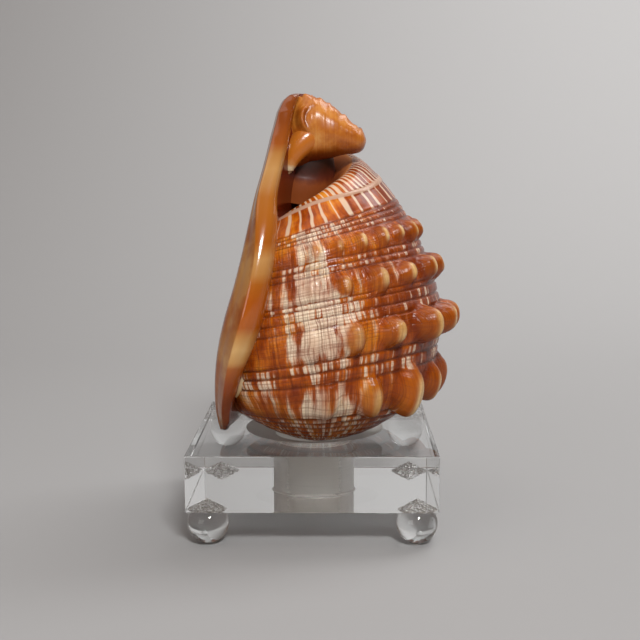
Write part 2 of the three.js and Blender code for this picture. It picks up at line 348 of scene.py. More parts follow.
# %% Sizes of the plate and line of the mouth
# Height, then x, y and radius of the near edge, then x, y and radius of the lip
PLATE_LEVELS = np.array([
    [41, -37.6, -23, 1.2, -34, 26, 2],
    [46, -37.2, -27, 2.6, -34, 31, 4.5],
    [53, -36.8, -32, 3.6, -34, 36, 6.5],
    [61, -35.3, -38, 4.8, -33, 40.5, 7.8],
    [70, -33.4, -42.5, 6, -31.5, 44, 8.6],
    [80, -30.6, -45, 7.4, -29.5, 46, 9],
    [92, -26.9, -46.5, 8.3, -26.5, 46, 9],
    [104, -23.9, -46, 7.6, -24, 44, 8.8],
    [116, -21.4, -43.3, 7, -22, 40, 8.4],
    [128, -19.6, -38.8, 6.2, -20.5, 34, 7.8],
    [140, -18.4, -33, 4.8, -16.5, 27, 6.4],
    [152, -15.8, -26.6, 4.2, -13, 20, 5.4],
    [164, -13.3, -19, 4.1, -9.8, 14, 4.4],
    [174, -11.3, -13.4, 3.7, -7.5, 10, 3.6],
    [178.5, -9.6, -10.6, 3.2, -6.2, 8, 3],
    [182, -7.4, -8.6, 2, -5.4, 6.6, 2],
])
MOUTH_LINE = np.array([
    [50, 17], [62, 17], [80, 16], [100, 13], [120, 10], [140, 6], [158, 3], [172, 1], [186, 0],
])

print(len(PLATE_LEVELS), "levels up the plate")

# %% [markdown]
# The growth law turns the outline into a coil. The whorl widens as it turns, faster near the
# canal. On the far side it draws in, to meet the back of the outer lip.

# %% How fast the whorl widens, and where it draws in
GROWTH_LOW, GROWTH_HIGH = 0.045, 0.11
TUCK_ROUNDING = 3.5
LIP_COVER = 0.7
FAR = 400
OUTER_RINGS = int(outline_z.argmax()) + 1


def growth(azimuth, height):
    turn = np.radians(azimuth)
    steady = 0.85 * turn - 0.15 * np.hypot(turn, 0.4) + 0.06
    turned = steady * (1 - step(1.9, 2.9, np.abs(turn)))
    rate = GROWTH_LOW + (GROWTH_HIGH - GROWTH_LOW) * step(80, 120, height)
    return np.exp(rate * turned * step(0, 20, height))


def outer_radius(z):
    return np.interp(z, outline_z[:OUTER_RINGS], outline_r[:OUTER_RINGS])


def tuck_behind_lip(reach, outer, turn, height, centre):
    """On the far side the whorl draws in to meet the back of the outer lip, wall and hollow alike."""
    lip_x, lip_y, lip_r = (np.interp(height, PLATE_LEVELS[:, 0], PLATE_LEVELS[:, k]) for k in (4, 5, 6))
    lean = np.sin(turn) - np.cos(turn)
    clear = lip_y - lip_x + centre - stand_middle[0] - LIP_COVER * lip_r
    limit = np.where(lean > 0.05, clear / np.maximum(lean, 0.05), FAR)
    excess = np.clip((outer - limit) / TUCK_ROUNDING, -30, 30)
    squeeze = TUCK_ROUNDING * np.log1p(np.exp(excess)) * step(56, 84, height)
    return reach * np.clip(1 - squeeze / np.maximum(outer, 1), 0.2, 1)


print("growth over half a turn at the waist:", growth(np.array([180.0]), np.array([50.0])).round(3))

# %% [markdown]
# The whorl's section is an oval and its rings lean. On the mouth side it ends just behind the
# plate, with a rounded corner, and there a trough leaves room for the throat.

# %% Growth law of the body whorl
ROUNDING = 2.0
OVAL_MEAN, OVAL_SWING = 0.921, 0.0906
BEHIND_FACE = 3
TROUGH_DEPTH, TROUGH_HALF = 24, 7


def grow_body(azimuth, ring, rise):
    """Places in mm, in the model's frame, of points a rise in mm above the outline."""
    turn = np.radians(azimuth)
    r, z, tr, tz = outline_r[ring], outline_z[ring], tangent_r[ring], tangent_z[ring]
    lift = (z - rise * tr) * growth(azimuth, z)
    oval = OVAL_MEAN + OVAL_SWING * np.cos(turn - math.pi / 6)
    centre = APEX[0] + AXIS_LEAN[0] * lift
    height = APEX[2] + lift
    reach = tuck_behind_lip((r + rise * tz) * oval, outer_radius(z) * oval, turn, height, centre)
    front = stand_middle[0] + np.interp(height, PLATE_LEVELS[:, 0], PLATE_LEVELS[:, 1]) + BEHIND_FACE
    back_share = np.maximum(0.01, -np.cos(turn))
    room = (centre - front) / back_share
    beside = APEX[1] + room * np.sin(turn) - stand_middle[1] - np.interp(height, *MOUTH_LINE.T)
    trough = TROUGH_DEPTH * np.exp(-(beside / TROUGH_HALF) ** 4) * step(46, 60, height)
    trough *= 1 - step(112, 124, height)
    room = np.maximum(2, (centre - front - trough)) / back_share
    held = -ROUNDING * np.log(np.exp(-reach / ROUNDING) + np.exp(-np.minimum(room, FAR) / ROUNDING))
    radius = np.where(np.cos(turn) < 0, held, reach)
    spoke = np.stack([radius * np.cos(turn), radius * np.sin(turn)])
    tilt = (RING_TILT @ spoke) * step(5, 40, lift)
    return np.stack([centre + spoke[0], APEX[1] + AXIS_LEAN[1] * lift + spoke[1], height + tilt], axis=1)


print("tip of the spire at", grow_body(np.zeros(1), np.zeros(1, int), np.zeros(1)).round(1), "mm")

# %% [markdown]
# The back of the shell is sculptured layer: aragonite laid down in thin crossed sheets, never
# glazed over, and only rubbed by the sand. To the eye it is satin, orange brown, with cream
# zones that broke off sharply at old growth lines. So the finish is painted in the shell's own
# coordinates, degrees round and mm up, which the skin carries as marks. The first patterns are
# noise stretched along the growth lines or along the spiral threads, and a fine even weave of
# both that comes and goes. The lines are in truth finer than these, which are drawn as coarse as
# the picture can show them.

# %% Growth lines, threads and weave
LINE_PITCH, THREAD_PITCH = 1.7, 1.25
MM_PER_DEGREE = 0.9
DRIFT_DEGREES = 6.0


def growth_patterns(tree, mark):
    """Patterns between 0 and 1. Growth lines wander, so they are read at degrees that drift."""
    round_mm = add(tree, "Math MULTIPLY", mark["around"], MM_PER_DEGREE)
    place_mm = add(tree, "CombineXYZ", round_mm, mark["level"])
    slow = add(tree, "TexNoise", Vector=place_mm, Scale=0.05, Detail=2.0)
    drift = add(tree, "Math MULTIPLY_ADD", slow, DRIFT_DEGREES, mark["around"])
    seen = {"drift": drift}
    seen["blotch"] = add(tree, "TexNoise", Vector=place_mm, Scale=0.075, Detail=4.0, Roughness=0.6)
    # Where it is read, features per degree and per mm, seed, detail and roughness of each noise
    stretched = {
        "line": (drift, 0.5, 0.014, 0.0, 2.5, 0.65),
        "thread": (mark["around"], 0.012, 0.34, 7.0, 1.5, 0.6),
        "streak": (drift, 0.24, 0.045, 3.0, 4.0, 0.58),
        "luck": (drift, 0.11, 0.02, 5.0, 1.0, 0.5),
    }
    for name, (degrees, per_degree, per_mm, seed, detail, roughness) in stretched.items():
        across = add(tree, "Math MULTIPLY", degrees, per_degree)
        up = add(tree, "Math MULTIPLY", mark["level"], per_mm)
        place = add(tree, "CombineXYZ", across, up, seed)
        seen[name] = add(tree, "TexNoise", Vector=place, Scale=1.0, Detail=detail, Roughness=roughness)
    for name, wide, fine in (("line", 0.034, 0.004), ("thread", 0.04, 0.005)):
        away = add(tree, "Math ABSOLUTE", add(tree, "Math SUBTRACT", seen[name], 0.5))
        seen[name] = add(tree, "MapRange SMOOTHSTEP", away, wide, fine)
    line_wave = add(tree, "Math PINGPONG", add(tree, "Math DIVIDE", drift, LINE_PITCH), 0.5)
    thread_wave = add(tree, "Math PINGPONG", add(tree, "Math DIVIDE", mark["level"], THREAD_PITCH), 0.5)
    upright = add(tree, "MapRange SMOOTHSTEP", line_wave, 0.17, 0.03)
    level_ones = add(tree, "MapRange SMOOTHSTEP", thread_wave, 0.17, 0.03, 0.0, 0.6)
    strength = add(tree, "MapRange SMOOTHSTEP", seen["streak"], 0.3, 0.6)
    seen["weave"] = add(tree, "Math MULTIPLY", add(tree, "Math MAXIMUM", upright, level_ones), strength)
    return seen


print("growth lines every", LINE_PITCH, "degrees, threads every", THREAD_PITCH, "mm")

# %% [markdown]
# Where fine growth lines cross a narrow cord they cut it into beads, like a string of small
# pearls. Each bead is pale or not by its own luck, read from white noise at the bead's number.
# The cords end at the striped band, and beads and lines are fainter on the knobs.

# %% Beads, and where the cords are
BEAD_PITCH = 2.9
STRIPES_FROM = 100.0


def bead_patterns(tree, mark, seen):
    """Adds the beads, their luck, the range of the cords and the places free of knobs."""
    beads = add(tree, "Math DIVIDE", seen["drift"], BEAD_PITCH)
    width = add(tree, "MapRange SMOOTHSTEP", add(tree, "Math PINGPONG", beads, 0.5), 0.06, 0.3)
    on_cord = add(tree, "MapRange SMOOTHSTEP", mark["groove"], 0.15, 0.95)
    seen["bead"] = add(tree, "Math MULTIPLY", add(tree, "Math MULTIPLY", width, mark["beaded"]), on_cord)
    number = add(tree, "CombineXYZ", add(tree, "Math FLOOR", beads), add(tree, "Math FLOOR", mark["cord"]))
    seen["bead_luck"] = add(tree, "TexWhiteNoise", Vector=number, out="Value")
    seen["cords"] = add(tree, "MapRange", mark["level"], STRIPES_FROM + 0.6, STRIPES_FROM - 0.6)
    off_knob = add(tree, "Math SUBTRACT", 1.0, mark["knob"])
    seen["free"] = add(tree, "Math MAXIMUM", off_knob, 0.0)


print("a bead every", BEAD_PITCH, "degrees")

# %% [markdown]
# The pigments come next, from the ground up. The ground is orange brown, mottled along the growth
# lines. Cream lies over it in streaks and beads that end on growth lines and grooves. Knobs are
# amber on the swell and the colour of horn at the leading end, where the shell is thickest.

# %% Pigments of ground, cream and knobs
def pigments(tree, mark, seen):
    """The base colour before any dark line is drawn on it."""
    mottle = add(tree, "Math MULTIPLY_ADD", seen["streak"], 0.8, seen["blotch"])
    # The mark "tone" darkens the ground on the far right, partly as painted shade
    mottle = add(tree, "Math ADD", mottle, mark["tone"])
    ground = add(tree, "ValToRGB", add(tree, "MapRange SMOOTHSTEP", mottle, 0.6, 1.2),
                 stops=[(0.0, "#782c04"), (0.35, "#a34905"), (0.65, "#bf6209"), (1.0, "#d28220")])

    chance = add(tree, "Math SUBTRACT", seen["streak"], 0.5)
    chance = add(tree, "Math MULTIPLY_ADD", chance, 1.9, mark["pale"])
    of_bead = add(tree, "Math SUBTRACT", seen["bead_luck"], 0.5)
    of_bead = add(tree, "Math MULTIPLY_ADD", add(tree, "Math SUBTRACT", seen["bead"], 0.6), 0.6, of_bead)
    chance = add(tree, "Math MULTIPLY_ADD", add(tree, "Math MULTIPLY", of_bead, mark["beaded"]), 0.5, chance)
    cream_share = add(tree, "MapRange SMOOTHSTEP", chance, 0.34, 0.72, 0.0, 0.97)
    cream_share = add(tree, "Math MULTIPLY", cream_share, seen["cords"])
    cream = add(tree, "ValToRGB", seen["blotch"],
                stops=[(0.32, "#c89e84"), (0.45, "#e4c8ac"), (0.58, "#f4e0c2"), (0.72, "#deb274")])
    coat = add(tree, "Mix RGBA", cream_share, ground, cream)

    amber = add(tree, "ValToRGB", add(tree, "MapRange SMOOTHSTEP", mottle, 0.5, 1.3),
                stops=[(0.0, "#8a3f08"), (0.5, "#a8550d"), (1.0, "#bd731f")])
    amber_share = add(tree, "MapRange SMOOTHSTEP", mark["knob"], 0.14, 0.45, 0.0, 0.95)
    coat = add(tree, "Mix RGBA", amber_share, coat, amber)
    horn = add(tree, "ValToRGB", seen["blotch"],
               stops=[(0.35, "#b9853f"), (0.5, "#d6aa6a"), (0.66, "#e2c592")])
    tip_edge = add(tree, "Math MULTIPLY_ADD", seen["streak"], 0.5, mark["tip"])
    horn_share = add(tree, "MapRange SMOOTHSTEP", tip_edge, 0.45, 1.2, 0.0, 0.95)
    return add(tree, "Mix RGBA", horn_share, coat, horn)


print("pigments ready")

# %% [markdown]
# Every line that is cut in is coloured darker: growth lines, threads, the weave and the grooves.
# Each is darkest on the flat between the knobs.

# %% Dark lines and grooves
CUT_LINE_DARKENING = [
    ("line", 0.28, 0.22, "#6b2c0c"),
    ("thread", 0.4, 0.0, "#74330f"),
    ("weave", 0.24, 0.18, "#884420"),
]


def dark_lines(tree, mark, seen, coat):
    for pattern, off_knobs, anywhere, code in CUT_LINE_DARKENING:
        strength = add(tree, "Math MULTIPLY_ADD", seen["free"], off_knobs, anywhere)
        on_cords = add(tree, "Math MULTIPLY", seen[pattern], seen["cords"])
        coat = add(tree, "Mix RGBA", add(tree, "Math MULTIPLY", on_cords, strength), coat, linear(code))
    share = add(tree, "MapRange SMOOTHSTEP", mark["groove"], 0.7, 0.1, 0.0, 0.7)
    share = add(tree, "Math MULTIPLY", share, add(tree, "Math MULTIPLY_ADD", seen["streak"], 0.9, 0.3))
    share = add(tree, "Math MULTIPLY", share, seen["cords"])
    return add(tree, "Mix RGBA", share, coat, linear("#4f1c08"))


print(len(CUT_LINE_DARKENING), "kinds of dark line")

# %% [markdown]
# On the smooth band below the rim run white stripes, closer together above the pale cord than
# under it. Inside the rim the wall turns from pale orange to dark red brown on its way down: the
# orange is its own colour, and the darkening with depth is painted shade of the hollow.

# %% Stripes, pale cord and hollow
STRIPE_PITCH = 8.0
RIM_FROM, HOLLOW_SHADE_DEPTH = 118.2, 16


def rim_band(tree, mark, seen, coat):
    """The colour with the band on it, and where the hollow begins."""
    above_cord = add(tree, "MapRange SMOOTHSTEP", mark["pale_cord"], -0.4, 0.4)
    stripes = add(tree, "Math DIVIDE", seen["drift"], STRIPE_PITCH)
    stripes = add(tree, "Math MULTIPLY", stripes, add(tree, "Math MULTIPLY_ADD", above_cord, 0.7, 1.0))
    from_stripe = add(tree, "Math MULTIPLY_ADD", above_cord, 0.07, add(tree, "Math PINGPONG", stripes, 0.5))
    stripe = add(tree, "Math MULTIPLY_ADD", seen["luck"], 0.5, from_stripe)
    stripe = add(tree, "MapRange SMOOTHSTEP", stripe, 0.59, 0.69, 0.0, 0.74)
    on_band = add(tree, "Math SUBTRACT", 1.0, seen["cords"])
    coat = add(tree, "Mix RGBA", add(tree, "Math MULTIPLY", stripe, on_band), coat, linear("#dec8aa"))

    from_cord = add(tree, "Math ABSOLUTE", mark["pale_cord"])
    cord_share = add(tree, "MapRange SMOOTHSTEP", from_cord, 1.3, 0.8, 0.0, 0.9)
    coat = add(tree, "Mix RGBA", cord_share, coat, linear("#b9937a"))
    # Painted shade: the wall inside the rim is painted darker the deeper it goes
    hollow = add(tree, "ValToRGB", add(tree, "MapRange", mark["level"], RIM_FROM, RIM_FROM + HOLLOW_SHADE_DEPTH),
                 stops=[(0.0, "#cf8c4c"), (0.14, "#b4652a"), (0.5, "#904618"), (1.0, "#4e1e0a")])
    in_hollow = add(tree, "MapRange SMOOTHSTEP", mark["level"], RIM_FROM, RIM_FROM + 1.2)
    return add(tree, "Mix RGBA", in_hollow, coat, hollow), in_hollow


print("stripes every", STRIPE_PITCH, "degrees")

# %% [markdown]
# The patterns are joined in one finish. Beads stand up and lines are cut in by a fifth of a mm at
# most, too little for the mesh, so they are bump. The satin gloss varies with the streaks, and
# the hollow is duller, because nothing rubs it.

# %% Finish of the sculptured back
LINE_RELIEF = 0.22


def sculptured_aragonite():
    """Satin orange brown with cream zones, beads between growth lines and dark grooves."""
    finish, tree = new_finish("sculptured_aragonite_sand_worn")
    names = ("around", "level", "groove", "knob", "tip", "pale", "cord", "pale_cord", "beaded", "tone")
    mark = {name: add(tree, "Attribute " + name, out="Fac") for name in names}
    seen = growth_patterns(tree, mark)
    bead_patterns(tree, mark, seen)
    coat = dark_lines(tree, mark, seen, pigments(tree, mark, seen))
    coat, in_hollow = rim_band(tree, mark, seen, coat)

    relief = add(tree, "Math MULTIPLY", seen["bead"], 0.35)
    for pattern, depth in (("line", -0.6), ("thread", -0.4), ("weave", -0.4)):
        relief = add(tree, "Math MULTIPLY_ADD", seen[pattern], depth, relief)
    shown = add(tree, "Math MULTIPLY", add(tree, "Math MULTIPLY_ADD", seen["free"], 0.7, 0.3), seen["cords"])
    relief = add(tree, "Math MULTIPLY", relief, shown)
    relief = add(tree, "Math MULTIPLY_ADD", seen["streak"], 0.5, relief)
    surface = add(tree, "Bump", Strength=0.8, Distance=LINE_RELIEF * MM, Height=relief)
    gloss = add(tree, "MapRange", seen["streak"], 0.3, 0.7, 0.17, 0.28)
    gloss = add(tree, "Math MULTIPLY_ADD", in_hollow, 0.35, gloss)
    shade = add(tree, "BsdfPrincipled", Base_Color=coat, Roughness=gloss, IOR=1.5, Specular_IOR_Level=0.32,
                Normal=surface)
    add(tree, "OutputMaterial", Surface=shade)
    print(finish.name, len(tree.nodes), "nodes")
    return finish


print("finish of the back ready")

# %% [markdown]
# The cream zones lie where they do by chance, so they are placed from the photograph: each patch
# is a soft spot with its azimuth, level, half width in degrees and half height in mm. A negative
# strength keeps a patch orange. On the far side, noise spreads more of the same.

# %% Cream and orange patches
# Partly painted light: the patches at levels 10 and 20 are partly real cream and partly painted light that
# lightens the lower whorl, and the wide orange patch at -28 degrees keeps the right side darker, partly its
# own colour and partly painted shade
PALE_PATCHES = [
    (-84, 76, 11, 24, 0.35), (-81, 56, 12, 11, 0.38), (-84, 42, 12, 8, 0.38), (-81, 25, 17, 6, 0.36),
    (-97, 46, 5, 5, 0.2), (-109, 46, 9, 8, -0.2), (-106, 80, 7, 8, -0.16), (-66, 62, 8, 7, 0.08),
    (-98, 62, 9, 6, 0.28), (-110, 30, 9, 4, 0.14), (-72, 96, 12, 3, 0.1), (-84, 10, 50, 9, 0.22),
    (-40, 58, 36, 5, 0.12), (-30, 36, 60, 4, 0.12), (-45, 78, 40, 3, 0.12), (-50, 95, 40, 4, 0.14),
    (-28, 50, 34, 60, -0.12), (-84, 20, 24, 5, 0.12),
]


def pale_field(azimuth, level):
    field = 0.24 + 0.12 * wander(azimuth / 16, level / 11, 4.0) + 0.08 * wander(azimuth / 5, level / 6, 9.0)
    for at, up, wide, tall, strength in PALE_PATCHES:
        field += strength * np.exp(-((azimuth - at) / wide) ** 4 - ((level - up) / tall) ** 4)
    return field


print(len(PALE_PATCHES), "patches")

# %% [markdown]
# Now the whorl is grown. Knobs and cords give each point its rise above the outline, with a slow
# wobble, so that no two knobs are alike. Cords fade out on the knobs. The ground is darker on the
# far right, partly its own colour and partly painted shade of the side turned away from the light,
# and beads are kept to the narrow cords.

# %% Body whorl
BODY_ROUNDS = 400
FULL_GROOVE = 3
NARROW_CORD, WIDE_CORD = 6, 9
# Partly painted shade: the ground is darker on the far right, partly its own colour and partly the shade of
# the side turned away from the light
RIGHT_TONE_AND_SHADE, DARKER_FROM, DARKER_TO = -0.2, -66, -26


def make_body():
    bm, ring, turn = lathe_blank(len(stations) - 1, BODY_ROUNDS)
    azimuth = np.degrees(turn)
    level = levels[ring]
    wobble = wander(azimuth / 20, level / 25, 2.0)
    knob_rise, knob, tip = knob_shape(azimuth, level, 2.0 * wobble)
    relief, to_groove, to_pale = cord_relief(azimuth, level)
    free = np.clip(1 - 0.75 * knob, 0, 1)
    rise = knob_rise + relief * free + 0.35 * wobble * step(0, 10, level)
    cord_width = np.diff([-20, *GROOVE_LEVELS, 160])[np.searchsorted(GROOVE_LEVELS, level)]
    marks = {
        "around": azimuth, "level": level, "groove": np.minimum(to_groove, FULL_GROOVE) + 1.2 * knob,
        "knob": knob, "tip": tip, "pale": pale_field(azimuth, level), "pale_cord": to_pale,
        "tone": RIGHT_TONE_AND_SHADE * step(DARKER_FROM, DARKER_TO, azimuth),
        "beaded": step(WIDE_CORD, NARROW_CORD, cord_width),
        "cord": np.interp(level, GROOVE_LEVELS, np.arange(len(GROOVE_LEVELS)) + 0.02),
    }
    piece = finish_skin(bm, "shell_body_whorl", grow_body(azimuth, ring, rise), marks, sculptured_aragonite())
    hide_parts("shell")


make_body()

# %% [markdown]
# The mouth side is a broad plate, as thick as a finger: the shield with its rolled edge on the
# near side, the rolled outer lip on the far side, and the long narrow mouth between them. Its
# section hardly changes on the way up, so it is drawn once, as a closed batten through control
# points, and then every level gets its own sizes from the plate's table.

# %% Section of the mouth plate
POCKET_DEPTH = np.array([
    [41, 3], [50, 9], [62, 20], [110, 20], [122, 12], [132, 7], [152, 6], [164, 8], [174, 4], [180, 2],
])
MOUTH_HALF_WIDTH = 2.7
TOOTH_PITCH = 4.7
TEETH_FROM, TEETH_TO = 57.0, 166.0
CREASE_FADES = (112, 146)
SECTION_ROLES = ("back edge edge edge edge side side side face fold fold fold wall wall floor floor "
                 "wall wall tooth tooth valley roll roll roll roll roll back back").split()


def plate_section(z):
    """Control points in mm of the plate's closed section at each height z, as an array (z, point, xy)."""
    near_x, near_y, near_r, lip_x, lip_y, lip_r = (
        batten(PLATE_LEVELS[:, 1:], np.interp(z, PLATE_LEVELS[:, 0], np.arange(len(PLATE_LEVELS)))).T)
    mouth = np.interp(z, *MOUTH_LINE.T)
    half = MOUTH_HALF_WIDTH * (0.3 + 0.7 * step(46, 68, z)) * (1 - 0.3 * step(140, 175, z))
    deep = np.interp(z, *POCKET_DEPTH.T)
    face = near_x - 0.55 * near_r
    crease = -0.08 - 0.5 * step(*CREASE_FADES, z)
    toothed = step(TEETH_FROM, TEETH_FROM + 8, z) * (1 - step(TEETH_TO - 12, TEETH_TO, z))
    tooth = toothed * (0.5 + 0.5 * np.cos(2 * math.pi * z / TOOTH_PITCH)) ** 1.5
    fold = toothed * (0.5 + 0.5 * np.cos(2 * math.pi * z / TOOTH_PITCH + 1.6 * np.sin(z / 9))) ** 1.3
    width = np.maximum(lip_y - mouth, 6)
    points = [
        (near_x + 0.8 * near_r, near_y + 1.8 * near_r),
        (near_x + 0.98 * near_r, near_y + 0.3 * near_r),
        (near_x + 0.78 * near_r, near_y - 0.6 * near_r),
        (near_x + 0.35 * near_r, near_y - 0.97 * near_r),
        (near_x + (crease + 0.08) * near_r, near_y - 1.03 * near_r),
        (near_x + (crease - 0.1) * near_r, near_y - 0.86 * near_r),
        (near_x + (0.5 * crease - 0.52) * near_r, near_y - 0.18 * near_r),
        (near_x - 0.98 * near_r, near_y + 0.9 * near_r),
        (face - 0.25 * near_r, near_y + 0.45 * (mouth - near_y)),
        (face - 0.3 * fold, mouth - half - 9),
        (face + 0.4 - 1.0 * fold, mouth - half - 3.6),
        (face + 2.4 - 0.7 * fold, mouth - half - 0.9 + 0.8 * fold),
        (face + 6, mouth - half + 0.5 * fold),
        (face + 6 + 0.4 * deep, mouth - 0.6 * half),
        (face + 5 + 0.8 * deep, mouth + 0.6 * half),
        (face + 4 + 0.8 * deep, mouth + 2.2 * half),
        (face + 5 + 0.4 * deep, mouth + 1.7 * half),
        (face + 6, mouth + half - 0.5 * tooth),
        (face + 2.4 - 0.6 * tooth, mouth + half + 0.8 - 1.3 * tooth),
        (face + 0.2 - 1.1 * tooth, mouth + half + 3.6),
        (lip_x - 0.72 * lip_r, mouth + 0.55 * width),
        (lip_x - 1.0 * lip_r, lip_y - 0.1 * lip_r),
        (lip_x - 0.5 * lip_r, lip_y + 0.85 * lip_r),
        (lip_x + 0.35 * lip_r, lip_y + 0.92 * lip_r),
        (lip_x + 0.95 * lip_r, lip_y + 0.2 * lip_r),
        (lip_x + 0.7 * lip_r, lip_y - 1.1 * lip_r),
        (face + 6 + deep, mouth + 5),
        (face + 6 + deep, mouth - 5),
    ]
    return np.stack([np.stack(point, axis=-1) for point in points], axis=1), tooth, fold


print(len(SECTION_ROLES), "points in the section")

# %% [markdown]
# Shield, lip and mouth are glazed: a last layer of porcelain-like enamel that the mantle wiped
# over everything it could reach. It shines like glazed china and is coloured all through, orange
# brown in broad bands with cream between them, deep orange red inside the throat, and cream on
# the teeth and folds.

# %% Finish of the shield and lip
NEAR_BANDS = [
    (41, "#6a2c06"), (52, "#8c3c06"), (66, "#9c4608"), (73, "#ad5c1a"), (76, "#cc9654"),
    (81, "#d6a868"), (86, "#c48a46"), (90, "#aa560c"), (100, "#a55008"), (107, "#a65a14"),
    (111, "#b27a3e"), (116, "#b9864c"), (120, "#aa6a2c"), (123, "#9f5510"), (132, "#a05a16"),
    (140, "#a3601f"), (144, "#ad763e"), (151, "#b5854c"), (157, "#a67036"), (161, "#924910"),
    (170, "#7e3a08"), (182, "#7e3c0c"),
]
CLOUD_SHIFT = 4.0


def glazed_callus():
    """Porcelain-like enamel in bands of orange brown and cream."""
    finish, tree = new_finish("glazed_callus_enamel")
    names = ("height", "throat", "ridge", "lip", "side", "inner")
    mark = {name: add(tree, "Attribute " + name, out="Fac") for name in names}
    at = add(tree, "TexCoord", out="Object")
    cloud = add(tree, "TexNoise", Vector=at, Scale=0.07 / MM, Detail=3.0, Roughness=0.55)
    height = add(tree, "Math MULTIPLY_ADD", cloud, CLOUD_SHIFT, mark["height"])
    low, high = NEAR_BANDS[0][0], NEAR_BANDS[-1][0]
    stops = [((z - low) / (high - low), code) for z, code in NEAR_BANDS]
    along = add(tree, "MapRange", height, low + CLOUD_SHIFT / 2, high + CLOUD_SHIFT / 2)
    coat = add(tree, "ValToRGB", along, stops=stops)

    # The mouth side of the shield is pinker than its edge, and duller and darker, partly its own
    # colour and partly painted shade of the face turned away from the light
    rose_and_shade = add(tree, "ValToRGB", cloud, stops=[(0.35, "#8f4a20"), (0.5, "#a4642f"), (0.62, "#b9874e")])
    shaded_side_share = add(tree, "MapRange SMOOTHSTEP", mark["side"], 0.1, 0.9, 0.0, 0.7)
    coat = add(tree, "Mix RGBA", shaded_side_share, coat, rose_and_shade)

    # The lip's roll: patches of brown and cream, of uneven length
    stretched = add(tree, "VectorMath MULTIPLY", at, (0.3, 0.3, 1.0))
    patches = add(tree, "TexNoise", Vector=stretched, Scale=0.085 / MM, Detail=1.0)
    lip_coat = add(tree, "ValToRGB", patches, stops=[
        (0.36, "#7e3408"), (0.45, "#a8560f"), (0.5, "#c78a44"), (0.56, "#dcb67c"), (0.7, "#e3c796")])
    coat = add(tree, "Mix RGBA", mark["lip"], coat, lip_coat)

    # Deep orange red in the throat, cream on the teeth, dark red brown behind the plate
    coat = add(tree, "Mix RGBA", mark["throat"], coat, linear("#7a2608"))
    ridge_share = add(tree, "MapRange SMOOTHSTEP", mark["ridge"], 0.3, 0.75)
    coat = add(tree, "Mix RGBA", ridge_share, coat, linear("#e0c898"))
    coat = add(tree, "Mix RGBA", mark["inner"], coat, linear("#6a240a"))
    ripple = add(tree, "TexNoise", Vector=at, Scale=0.3 / MM, Detail=2.0)
    surface = add(tree, "Bump", Strength=0.25, Distance=0.2 * MM, Height=ripple)
    shade = add(tree, "BsdfPrincipled", Base_Color=coat, Roughness=0.17, IOR=1.53, Coat_Weight=0.25,
                Coat_Roughness=0.08, Normal=surface)
    add(tree, "OutputMaterial", Surface=shade)
    return finish


print(len(NEAR_BANDS), "colour stops up the shield's edge")

# %% [markdown]
# The plate's blank takes its section at each ring. A short run of rings at each end closes in like
# a quarter circle, so the plate ends in a rounded edge, and its far foot is lifted a little off
# the block, as the end of the lip is on the real shell.

# %% Mouth plate
PLATE_RINGS = 230
PLATE_ROUNDS = 196
PLATE_LOW, PLATE_HIGH = 41.0, 182.0
END_RINGS = 7
END_ROUNDING = 1.6
ROLES_OF_MARK = {"throat": ("wall", "floor"), "lip": ("roll",), "side": ("side", "face"), "inner": ("back",),
                 "tooth": ("tooth",), "fold": ("fold",)}
FOOT_LIFT, FOOT_LIFT_TO = 8.0, 72


def make_plate():
    bm, ring, turn = lathe_blank(PLATE_RINGS, PLATE_ROUNDS)
    ring_z = np.interp(np.arange(PLATE_RINGS + 1), [0, END_RINGS, PLATE_RINGS - END_RINGS, PLATE_RINGS],
                       [PLATE_LOW, PLATE_LOW + END_ROUNDING, PLATE_HIGH - END_ROUNDING, PLATE_HIGH])
    sections, tooth, fold = plate_section(ring_z)
    count = sections.shape[1]
    spot = (turn / (2 * math.pi)) % 1.0 * count
    places = np.empty((len(ring), 3))
    for number in range(PLATE_RINGS + 1):
        here = ring == number
        flat = batten(sections[number], spot[here], closed=True)
        from_end = min(number, PLATE_RINGS - number) / END_RINGS
        squeeze = math.sqrt(max(0.0, 1 - (1 - min(1.0, from_end)) ** 2))
        middle = sections[number].mean(axis=0)
        places[here, :2] = middle + (flat - middle) * squeeze
        places[here, 2] = ring_z[number]
    near_foot, far_foot = PLATE_LEVELS[0, [2, 5]]
    far_share = np.clip((places[:, 1] - near_foot) / (far_foot - near_foot), 0, 1)
    height = places[:, 2].copy()
    places[:, 2] += FOOT_LIFT * far_share ** 2 * (1 - step(PLATE_LOW, FOOT_LIFT_TO, height))
    places[:, :2] += stand_middle[:2]
    share = {}
    for name, parts in ROLES_OF_MARK.items():
        amount = np.array([[float(role in parts)] for role in SECTION_ROLES])
        share[name] = np.clip(batten(amount, spot, closed=True)[:, 0], 0, 1)
    marks = {
        "height": places[:, 2], "lip": share["lip"], "side": share["side"],
        "throat": share["throat"] * step(50, 64, height), "inner": share["inner"] * step(100, 116, height),
        "ridge": share["tooth"] * tooth[ring] + share["fold"] * fold[ring],
    }
    piece = finish_skin(bm, "shell_mouth_plate", places, marks, glazed_callus())
    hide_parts("shell")


make_plate()

# %% [markdown]
# The canal has the satin of the back, tan orange, and hair lines along every old edge. The lines
# follow its mark "fan", which runs in arcs round the canal's end and straight along the rest.

